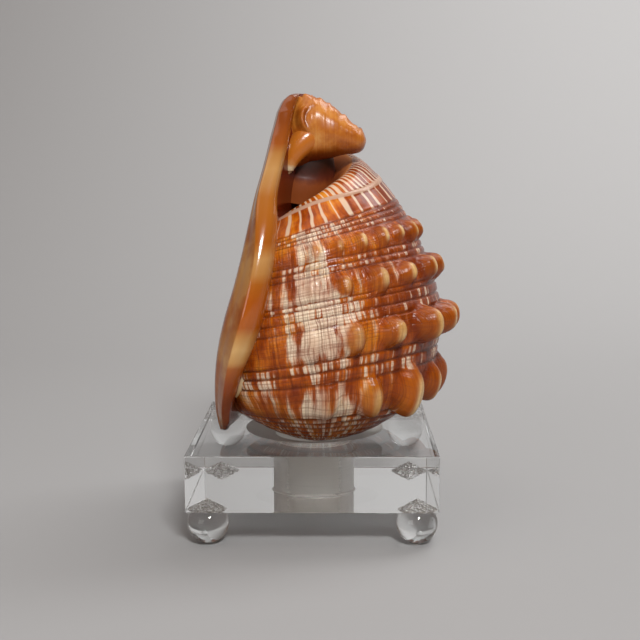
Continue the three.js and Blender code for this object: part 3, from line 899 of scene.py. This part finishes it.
# %% Finish of the canal
def growth_ringed_canal():
    """Satin tan orange, finely lined along every old edge, with painted shade in its groove and underneath.
    """
    finish, tree = new_finish("growth_ringed_canal_aragonite")
    mark = {name: add(tree, "Attribute " + name, out="Fac") for name in ("ridge", "fan", "groove", "under")}
    at = add(tree, "TexCoord", out="Object")
    cloud = add(tree, "TexNoise", Vector=at, Scale=0.11 / MM, Detail=4.0, Roughness=0.6)
    line_place = add(tree, "CombineXYZ", add(tree, "Math MULTIPLY", mark["fan"], 1.2))
    lines = add(tree, "TexNoise", Vector=line_place, Scale=1.0, Detail=4.0, Roughness=0.7)
    tone = add(tree, "Math MULTIPLY_ADD", lines, 0.5, cloud)
    coat = add(tree, "ValToRGB", add(tree, "MapRange", tone, 0.45, 1.05),
               stops=[(0.0, "#8a3f10"), (0.4, "#ad601c"), (0.7, "#c27a30"), (1.0, "#cc9048")])
    # Painted shade: the open groove, the foot of the crescent and the underside are painted dark red brown
    painted_shade_share = add(tree, "Math MAXIMUM", mark["groove"], mark["under"])
    painted_shade_share = add(tree, "Math MULTIPLY", painted_shade_share, 0.85)
    coat = add(tree, "Mix RGBA", painted_shade_share, coat, linear("#742f0e"))
    relief = add(tree, "Math MULTIPLY_ADD", mark["ridge"], 0.4, lines)
    surface = add(tree, "Bump", Strength=0.6, Distance=0.2 * MM, Height=relief)
    shade = add(tree, "BsdfPrincipled", Base_Color=coat, Roughness=0.26, IOR=1.53, Normal=surface)
    add(tree, "OutputMaterial", Surface=shade)
    return finish


print("finish of the canal ready")

# %% [markdown]
# The canal is the spout of the shell, bent sharply to the back, with an open groove along its
# top. Each growth stage left a rounded edge on it, so it is ridged like a stack of thick coins,
# and its crest is lumpy. Its root goes down into the hollow of the body whorl.

# %% Canal
# Each station: x, height, half height and half width
CANAL_STATIONS = np.array([
    [-14, 160, 6, 4], [-12.5, 161.5, 10.5, 6.5], [-10, 163.6, 13.6, 8.5], [-6, 166.2, 16.2, 10.5],
    [0, 167.4, 15, 12], [7, 166.6, 12.2, 11.5], [13, 165, 9.2, 10], [18, 163.2, 6.8, 8.2],
    [21, 162.4, 4.6, 6], [22.3, 162.2, 1.6, 2.4],
])
CANAL_RINGS = 140
CANAL_ROUNDS = 160
GROOVE_HALF, GROOVE_CUT = 3.2, 5.0
FAN_CENTRE = (1.6, 171.5)
CRESCENT_RADIUS = 5.4
CREST_BUMP_PITCH = 3.4
RIDGE_PITCH, RIDGE_DROP = 1.9, 0.35
RIDGE_HEIGHT, BUMP_HEIGHT, CRESCENT_HEIGHT, UNEVENNESS = 0.07, 0.9, 2.4, 0.5


def growth_edge(x, pitch, sharp):
    """Saw-like ridges: a slow swell, then a quick drop at each old edge."""
    part = (x / pitch) % 1.0
    return part * (1 - step(1 - sharp, 1, part))


def make_canal():
    bm, ring, turn = lathe_blank(CANAL_RINGS, CANAL_ROUNDS)
    at = batten(CANAL_STATIONS, (1 - np.cos(math.pi * ring / CANAL_RINGS)) / 2 * (len(CANAL_STATIONS) - 1))
    x, z, tall, wide = at.T
    ends = (ring == 0) | (ring == CANAL_RINGS)
    tall, wide = np.where(ends, 0, tall), np.where(ends, 0, wide)
    across, up = np.sin(turn), np.cos(turn)
    from_fan = np.hypot(x - FAN_CENTRE[0], 0.9 * (z + tall * up - FAN_CENTRE[1]))
    arcs = step(2, -5, x) * step(159, 165, z + tall * up)
    fan = (1 - arcs) * x + arcs * (FAN_CENTRE[0] - from_fan)
    ridge = growth_edge(fan + 0.35 * wander(turn * 2, x / 6, 5.0), RIDGE_PITCH, RIDGE_DROP)
    window = (x < FAN_CENTRE[0]) * np.exp(-((z + tall * up - FAN_CENTRE[1]) / 4.6) ** 4)
    crescent = window * step(CRESCENT_RADIUS - 0.5, CRESCENT_RADIUS + 0.3, from_fan) * (
        1 - step(CRESCENT_RADIUS + 0.3, CRESCENT_RADIUS + 4, from_fan))
    swing = 2 * math.pi * x / CREST_BUMP_PITCH + 5 * wander(x / 4, turn, 3.0)
    bumps = (0.5 + 0.5 * np.cos(swing)) * step(0.5, 0.9, up)
    bumps *= 0.6 + 1.3 * wander(x / 2.6, turn * 2, 12.0)
    calm = ~ends * step(22.4, 19, x)
    rise = RIDGE_HEIGHT * ridge + BUMP_HEIGHT * bumps + CRESCENT_HEIGHT * crescent
    rise = (rise + UNEVENNESS * wander(x / 5, turn * 2, 7.0)) * calm
    # Painted shadow: a dark line at the foot of the crescent, carried to the finish by the mark "groove"
    cut = window * np.exp(-((from_fan - CRESCENT_RADIUS + 0.4) / 0.6) ** 2)
    y = (wide + rise) * across
    height = z + (tall + rise - 0.6) * up
    open_part = np.exp(-(y / GROOVE_HALF) ** 4) * (up > 0)
    height = height - GROOVE_CUT * open_part * step(5, 11, tall)
    places = np.stack([x + stand_middle[0], y + stand_middle[1], height], axis=1)
    # The marks "groove" and "under" carry painted shade into the finish
    marks = {"ridge": ridge + 0.8 * crescent, "fan": fan, "groove": np.maximum(open_part, cut),
             "under": step(-0.45, -0.95, up)}
    piece = finish_skin(bm, "shell_canal", places, marks, growth_ringed_canal())
    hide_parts("shell")


make_canal()

# %% [markdown]
# Four small pieces of the same growth tie these parts together. The pillar's bright fold curls
# down beside the canal and ends in a pale point, and a thin tie runs on from that point. The
# pillar's root carries the canal out of the hollow, and a thin pale rim runs where the shield's
# glaze stops on the whorl. All four are tapered lobes along a short curve of (x, y, z, radius).

# %% Paths of fold, root, tie and rim
FOLD_PATH = [(3, -3.5, 165, 5.0), (-2.4, -6.2, 163.2, 6.0), (-6.6, -8.6, 159, 5.1),
             (-9, -10, 154.5, 3.7), (-9.7, -10.6, 151.4, 2.5), (-9.6, -10.8, 149.6, 1.5)]
ROOT_PATH = [(-2, 4, 164, 9), (-3, 6.5, 157, 11.5), (-4, 9, 150, 13.5), (-5, 10, 143, 14),
             (-6, 10.5, 136, 13)]
TIE_PATH = [(-9.4, -10.2, 150, 1.0), (-11.6, -10.8, 148.2, 0.9), (-13.4, -11.4, 145.4, 0.9),
            (-14.4, -12.2, 141.4, 0.8), (-15, -13.4, 136, 0.6)]
RIM_HEIGHTS = (58, 62, 66, 72, 80, 90, 100, 110)
RIM_THICKNESS = (0.5, 1.5, 1.7, 1.2, 0.8, 0.7, 0.6, 0.3)
rim_at = np.interp(RIM_HEIGHTS, PLATE_LEVELS[:, 0], np.arange(len(PLATE_LEVELS)))
rim_rows = zip(batten(PLATE_LEVELS[:, 1:4], rim_at), RIM_HEIGHTS, RIM_THICKNESS)
RIM_PATH = [(x + 1.02 * r, y + r, z, thick) for (x, y, r), z, thick in rim_rows]
print("rim path from", RIM_HEIGHTS[0], "to", RIM_HEIGHTS[-1], "mm")

# %% [markdown]
# A lobe is the same blank once more. Its rings are set square to the curve, by two directions
# worked out from the way the curve runs, and both ends close in like a quarter circle.

# %% Lobe along a curve
LOBE_RINGS, LOBE_ROUNDS = 60, 40
LOBE_END_RINGS = 6


def lobe(name, path, finish):
    """A tapered lobe along a curve of (x, y, z, radius) in mm from the block's middle."""
    bm, ring, turn = lathe_blank(LOBE_RINGS, LOBE_ROUNDS)
    along = (1 - np.cos(math.pi * ring / LOBE_RINGS)) / 2 * (len(path) - 1)
    spot = batten(path, along)
    ahead = batten(path, np.minimum(along + 0.05, len(path) - 1)) - batten(path, np.maximum(along - 0.05, 0))
    ahead = ahead[:, :3] / np.linalg.norm(ahead[:, :3], axis=1)[:, None]
    right = np.cross(ahead, (0.0, 1.0, 0.0))
    right /= np.linalg.norm(right, axis=1)[:, None]
    out = np.cross(right, ahead)
    end = np.minimum(ring, LOBE_RINGS - ring) / LOBE_END_RINGS
    radius = spot[:, 3] * np.sqrt(np.clip(1 - (1 - np.minimum(end, 1)) ** 2, 0, 1))
    places = spot[:, :3] + radius[:, None] * (np.cos(turn)[:, None] * right + np.sin(turn)[:, None] * out)
    places[:, :2] += stand_middle[:2]
    piece = finish_skin(bm, name, places, {"along": along / (len(path) - 1)}, finish)
    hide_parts("shell")


print("a lobe has", LOBE_RINGS, "rings")

# %% [markdown]
# The fold is glazed and ends in a pale point. The root stands in the dark of the hollow and is
# red brown, painted near black towards its top under the canal as painted shade. The tie and the
# rim are the pale edges of the glaze.

# %% Fold, root, tie and rim
COLOUR_WANDER = 0.16


def glazed_lobe(name, colours, roughness):
    """The same enamel in one run of colours from a lobe's first end to its last."""
    finish, tree = new_finish(name)
    along = add(tree, "Attribute along", out="Fac")
    at = add(tree, "TexCoord", out="Object")
    cloud = add(tree, "TexNoise", Vector=at, Scale=0.4 / MM, Detail=3.0)
    place = add(tree, "Math MULTIPLY_ADD", cloud, COLOUR_WANDER, along)
    coat = add(tree, "ValToRGB", add(tree, "Math SUBTRACT", place, COLOUR_WANDER / 2), stops=colours)
    surface = add(tree, "Bump", Strength=0.4, Distance=0.2 * MM, Height=cloud)
    shade = add(tree, "BsdfPrincipled", Base_Color=coat, Roughness=roughness, IOR=1.53, Normal=surface)
    add(tree, "OutputMaterial", Surface=shade)
    return finish


LOBES = [
    ("shell_pillar_fold", FOLD_PATH, "glazed_fold_orange", 0.22,
     [(0.0, "#b86a26"), (0.6, "#bd6c1e"), (0.76, "#c98a4a"), (0.86, "#dcc6a0")]),
    # Painted shade: the root runs from near black at its top under the canal to red brown below
    ("shell_pillar_root", ROOT_PATH, "pillar_root_red_brown", 0.45,
     [(0.3, "#2c0f04"), (0.5, "#571f0a"), (0.66, "#8a4418"), (1.0, "#9c5022")]),
    ("shell_fold_tie", TIE_PATH, "glazed_tie_pale", 0.25, [(0.0, "#d8bc94"), (1.0, "#b98a58")]),
    ("shell_shield_rim", RIM_PATH, "glazed_rim_cream", 0.2,
     [(0.0, "#d8b47c"), (0.5, "#dcc4a0"), (1.0, "#b98050")]),
]
for name, path, finish_name, roughness, colours in LOBES:
    lobe(name, path, glazed_lobe(finish_name, colours, roughness))

# %% [markdown]
# The stand is cast acrylic. Its six faces are flame or diamond polished, so the eye sees through
# them and sees them only by their reflections. The drilled and turned faces, that is the bore,
# the dish and the four sockets, are left as the tool cut them: finely ringed and frosted. Both
# finishes are plain transmission with acrylic's index of refraction, and differ in roughness.

# %% Finishes of the acrylic
ACRYLIC_IOR, CEMENT_IOR = 1.49, 1.4
TOOL_RING_PITCH, TOOL_RING_HEIGHT = 0.9, 0.12
BUBBLES_PER_MM, BUBBLE_HEIGHT = 0.95, 0.6


def clear_acrylic(name, tint, roughness, clear=1.0, ringed=False):
    """Cast acrylic, polished, or frosted by the tool with fine rings up the wall."""
    finish, tree = new_finish(name)
    surface = {}
    if ringed:
        at = add(tree, "TexCoord", out="Object")
        grain = add(tree, "TexNoise", Vector=at, Scale=0.9 / MM, Detail=2.0)
        stretched = add(tree, "VectorMath MULTIPLY", at, (0.06, 0.06, 1.0))
        rings = add(tree, "TexNoise", Vector=stretched, Scale=1 / (TOOL_RING_PITCH * MM), Detail=1.0)
        height = add(tree, "Math MULTIPLY_ADD", grain, 0.5, rings)
        surface["Normal"] = add(tree, "Bump", Strength=1.0, Distance=TOOL_RING_HEIGHT * MM, Height=height)
    shade = add(tree, "BsdfPrincipled", Base_Color=linear(tint), Roughness=roughness, IOR=ACRYLIC_IOR,
                Transmission_Weight=clear, **surface)
    add(tree, "OutputMaterial", Surface=shade)
    return finish


def bubbly_cement():
    """Clear cement full of tiny bubbles, which scatter the light and look grey white."""
    finish, tree = new_finish("cured_clear_cement_bubbly")
    at = add(tree, "TexCoord", out="Object")
    bubbles = add(tree, "TexVoronoi", Vector=at, Scale=BUBBLES_PER_MM / MM, out="Distance")
    surface = add(tree, "Bump", Strength=1.0, Distance=BUBBLE_HEIGHT * MM, Height=bubbles)
    grains = add(tree, "ValToRGB", bubbles, stops=[(0.1, "#fdfcfa"), (0.4, "#f4f1ec"), (0.62, "#c6c0b8")])
    shade = add(tree, "BsdfPrincipled", Base_Color=grains, Roughness=0.25, IOR=CEMENT_IOR,
                Transmission_Weight=0.45, Normal=surface)
    add(tree, "OutputMaterial", Surface=shade)
    return finish


polished = clear_acrylic("cast_acrylic_polished", "#fbfdfd", 0.0)
frosted = clear_acrylic("cast_acrylic_tool_frosted", "#cfc8be", 0.55, clear=0.6, ringed=True)
cement = bubbly_cement()
print(polished.name, frosted.name, cement.name)

# %% [markdown]
# The block is a cube cut to size with its edges just broken. One cutter drills the bore with its
# chamfer and turns the dish round it, and four cones drill the sockets. A Boolean takes them off,
# and hands the cutters' finishes to the faces that they leave: frosted to the bore and the dish,
# cement to the sockets.

# %% Cutters for the block
BORE_RADIUS, BORE_CHAMFER = 17.1, 0.8
DISH_RADIUS, DISH_DEPTH = 30.0, 3.8
SOCKET_RADIUS, SOCKET_DEPTH = 8.0, 4.5
BALL_INSET = 8.3
BORE_ROUNDS, SOCKET_ROUNDS = 128, 64
CONE_STEPS = 9
PAST = 2
LUMP_HEIGHT = 0.45
POLISHED, FROSTED, CEMENTED = range(3)
top, underside = block_high[2], block_low[2]
half_side = (block_high[0] - block_low[0]) / 2
corner = half_side - BALL_INSET
ball_places = [(-corner, -corner), (corner, -corner), (corner, corner), (-corner, corner)]


def spun(bm, profile, middle, rounds, material):
    """Spins a profile of (radius, height) in mm into a closed solid and adds it to the bmesh."""
    chain = [bm.verts.new((middle[0] * MM + r * MM, middle[1] * MM, z * MM)) for r, z in profile]
    wire = [bm.edges.new(pair) for pair in zip(chain, chain[1:])]
    old = set(bm.faces)
    bmesh.ops.spin(bm, geom=chain + wire, cent=(middle[0] * MM, middle[1] * MM, 0), axis=(0, 0, 1),
                   angle=2 * math.pi, steps=rounds, use_merge=True)
    bmesh.ops.remove_doubles(bm, verts=bm.verts, dist=1e-7)
    made = [face for face in bm.faces if face not in old]
    bmesh.ops.recalc_face_normals(bm, faces=made)
    for face in made:
        face.material_index = material
        face.smooth = True


def block_cutters():
    bm = bmesh.new()
    dish_radii = np.linspace(BORE_RADIUS, DISH_RADIUS, 9)
    dish = [(r, top - DISH_DEPTH * (1 - (r / DISH_RADIUS) ** 2)) for r in dish_radii]
    bore = [(0, underside - PAST), (BORE_RADIUS + BORE_CHAMFER + PAST, underside - PAST),
            (BORE_RADIUS, underside + BORE_CHAMFER), *dish, (DISH_RADIUS, top + PAST), (0, top + PAST)]
    spun(bm, bore, stand_middle, BORE_ROUNDS, FROSTED)
    for x, y in ball_places:
        cone = [(SOCKET_RADIUS * (1 - k / CONE_STEPS), underside + SOCKET_DEPTH * k / CONE_STEPS)
                for k in range(CONE_STEPS + 1)]
        spun(bm, [(0, underside - PAST), (SOCKET_RADIUS, underside - PAST), *cone],
             (stand_middle[0] + x, stand_middle[1] + y), SOCKET_ROUNDS, CEMENTED)
    for vert in bm.verts:
        in_height = underside + 0.2 < vert.co.z / MM < underside + SOCKET_DEPTH + 0.1
        if in_height and vert.co.xy.length > DISH_RADIUS * MM:
            lump = noise.noise(vert.co / (1.3 * MM)) + 0.5 * noise.noise(vert.co / (0.6 * MM))
            vert.co.z += LUMP_HEIGHT * MM * lump
    return bm


print("dish", 2 * DISH_RADIUS, "mm across, bore", 2 * BORE_RADIUS, "mm")

# %% [markdown]
# The cube is scaled to the CAD model's own corners and its edges are broken before the cut. After
# it, the edges where two finishes meet are marked sharp, so that the lumps in a socket throw no
# false shading over the polished faces.

# %% Cut the block
EDGE_BREAK = 0.35
BLOCK_CREASE = 20


def to_object(bm, name, finishes):
    mesh = bpy.data.meshes.new(name)
    bm.to_mesh(mesh)
    bm.free()
    for finish in finishes:
        mesh.materials.append(finish)
    piece = bpy.data.objects.new(name, mesh)
    bpy.context.scene.collection.objects.link(piece)
    return piece


def cut_block():
    bm = bmesh.new()
    bmesh.ops.create_cube(bm, size=1.0)
    bmesh.ops.scale(bm, vec=(block_high - block_low) * MM, verts=bm.verts)
    bmesh.ops.translate(bm, vec=stand_middle * MM, verts=bm.verts)
    bmesh.ops.bevel(bm, geom=bm.edges[:], offset=EDGE_BREAK * MM, affect="EDGES", segments=2, profile=0.5,
                    material=-1)
    piece = to_object(bm, "acrylic_block", (polished, frosted, cement))
    cutters = to_object(block_cutters(), "cutters", (polished, frosted, cement))
    cut = piece.modifiers.new("cut", "BOOLEAN")
    cut.object = cutters
    cut.solver = "EXACT"
    bpy.context.view_layer.update()
    result = bpy.data.meshes.new_from_object(piece.evaluated_get(bpy.context.evaluated_depsgraph_get()))
    piece.modifiers.clear()
    piece.data = result
    bpy.data.objects.remove(cutters)
    result.polygons.foreach_set("use_smooth", [True] * len(result.polygons))
    result.set_sharp_from_angle(angle=math.radians(BLOCK_CREASE))
    edges = bmesh.new()
    edges.from_mesh(result)
    for edge in edges.edges:
        if len({face.material_index for face in edge.link_faces}) > 1:
            edge.smooth = False
    edges.to_mesh(result)
    edges.free()
    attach(piece, "root")
    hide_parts("stand_block")
    print("block:", len(result.polygons), "faces,", len(result.materials), "finishes")


cut_block()

# %% [markdown]
# Four balls stand under the corners. A drop of clear cement holds each in its drilled socket,
# and it cured full of bubbles, which look like a small heap of grains under the block.

# %% Ball feet
BALL_RADIUS, BALL_FLAT, BALL_NECK = 8.4, 1.6, 6.0
CEMENT_GAP = 0.3
BALL_RINGS, BALL_ROUNDS = 34, 72
BALL_CREASE = 40
FOOT_SPOTS = ("front_left", "front_right", "back_right", "back_left")


def make_foot(node, x, y):
    centre = math.sqrt(BALL_RADIUS ** 2 - BALL_FLAT ** 2)
    start, end = math.asin(BALL_FLAT / BALL_RADIUS), math.pi - math.asin(BALL_NECK / BALL_RADIUS)
    angles = np.linspace(start, end, BALL_RINGS)
    ball = [(BALL_RADIUS * math.sin(a), centre - BALL_RADIUS * math.cos(a)) for a in angles]
    slope = SOCKET_DEPTH / SOCKET_RADIUS
    roof = underside - CEMENT_GAP * math.hypot(1, slope)
    heap = [(SOCKET_RADIUS - 1, roof + slope)]
    heap += [(r, roof + slope * (SOCKET_RADIUS - r)) for r in (5.2, 3.4, 1.7)]
    heap += [(0, roof + SOCKET_DEPTH)]
    bm = bmesh.new()
    spun(bm, [(0, 0), *ball, *heap], (stand_middle[0] + x, stand_middle[1] + y), BALL_ROUNDS, POLISHED)
    for face in bm.faces:
        face.material_index = int(face.calc_center_median().z > ball[-1][1] * MM)
    piece = to_object(bm, node.replace("foot_", "ball_foot_"), (polished, cement))
    piece.data.set_sharp_from_angle(angle=math.radians(BALL_CREASE))
    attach(piece, "root")
    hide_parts(node)
    return piece


feet = [make_foot(f"foot_{spot}", *place) for spot, place in zip(FOOT_SPOTS, ball_places)]
print(len(feet), "ball feet")

# %% [markdown]
# The object stands on a pale sheet of paper that curves up behind it, so there is no horizon.
# The sheet is drawn as one long edge, with its bend, and pulled out sideways.

# %% Backdrop
SHEET_WIDTH, SHEET_FRONT, SHEET_BACK, SHEET_BEND, SHEET_TOP = 4.0, -1.2, 0.35, 0.9, 2.2
FIBRE_SIZE = 1.5


def paper_backdrop():
    bm = bmesh.new()
    angles = np.linspace(0, math.pi / 2, 33)
    bend = [(SHEET_BACK + SHEET_BEND * math.sin(a), SHEET_BEND * (1 - math.cos(a))) for a in angles]
    profile = [(SHEET_FRONT, 0), *bend, (SHEET_BACK + SHEET_BEND, SHEET_TOP)]
    chain = [bm.verts.new((-SHEET_WIDTH / 2, y, z)) for y, z in profile]
    wire = [bm.edges.new(pair) for pair in zip(chain, chain[1:])]
    drawn = bmesh.ops.extrude_edge_only(bm, edges=wire)["geom"]
    far_edge = [v for v in drawn if isinstance(v, bmesh.types.BMVert)]
    bmesh.ops.translate(bm, vec=(SHEET_WIDTH, 0, 0), verts=far_edge)
    for face in bm.faces:
        face.smooth = True
    finish, tree = new_finish("matt_background_paper")
    at = add(tree, "TexCoord", out="Object")
    fibre = add(tree, "TexNoise", Vector=at, Scale=1 / (FIBRE_SIZE * MM), Detail=3.0)
    surface = add(tree, "Bump", Strength=0.1, Distance=0.1 * MM, Height=fibre)
    shade = add(tree, "BsdfPrincipled", Base_Color=linear("#a2a1a0"), Roughness=0.8, Specular_IOR_Level=0.2,
                Normal=surface)
    add(tree, "OutputMaterial", Surface=shade)
    sheet = to_object(bm, "paper_backdrop", (finish,))
    return sheet


sheet = paper_backdrop()
print(sheet.name, "with a bend of", SHEET_BEND, "m")

# %% [markdown]
# A soft box in front and above makes the small square lights on the glossy knobs, a weak one
# fills from the left, two light the table and the backdrop, and the warm pale room does the rest.

# %% Light
BOX_COLOUR = (0.97, 0.985, 1.0)
ROOM_STRENGTH = 0.22


def soft_box(name, spot, aim_at, width, height, power):
    """A rectangular area light, in metres and watts."""
    lamp = bpy.data.lights.new(name, "AREA")
    lamp.shape = "RECTANGLE"
    lamp.size = width
    lamp.size_y = height
    lamp.energy = power
    lamp.color = BOX_COLOUR
    box = bpy.data.objects.new(name, lamp)
    bpy.context.scene.collection.objects.link(box)
    turn = (Vector(aim_at) - Vector(spot)).to_track_quat("-Z", "Y").to_matrix().to_4x4()
    box.matrix_world = Matrix.Translation(spot) @ turn
    return box


soft_box("soft_box_front", (0.22, -0.9, 0.84), (0, 0, 0.1), 0.26, 0.2, 11.2)
soft_box("soft_box_left", (-0.75, -0.95, 0.35), (0, 0, 0.07), 0.6, 0.5, 2.2)
soft_box("soft_box_top", (-0.3, -0.1, 1.3), (0, 0.1, 0), 0.9, 0.9, 2.4)
soft_box("soft_box_backdrop", (0.6, 0.45, 1.05), (0.35, 1.15, 0.25), 1.1, 0.8, 15)
room = bpy.data.worlds.new("pale_room")
room.use_nodes = True
pale_air = room.node_tree.nodes["Background"]
pale_air.inputs["Color"].default_value = linear("#dfbca8")
pale_air.inputs["Strength"].default_value = ROOM_STRENGTH
bpy.context.scene.world = room
bpy.context.scene.view_settings.view_transform = "Standard"
print("four soft boxes")
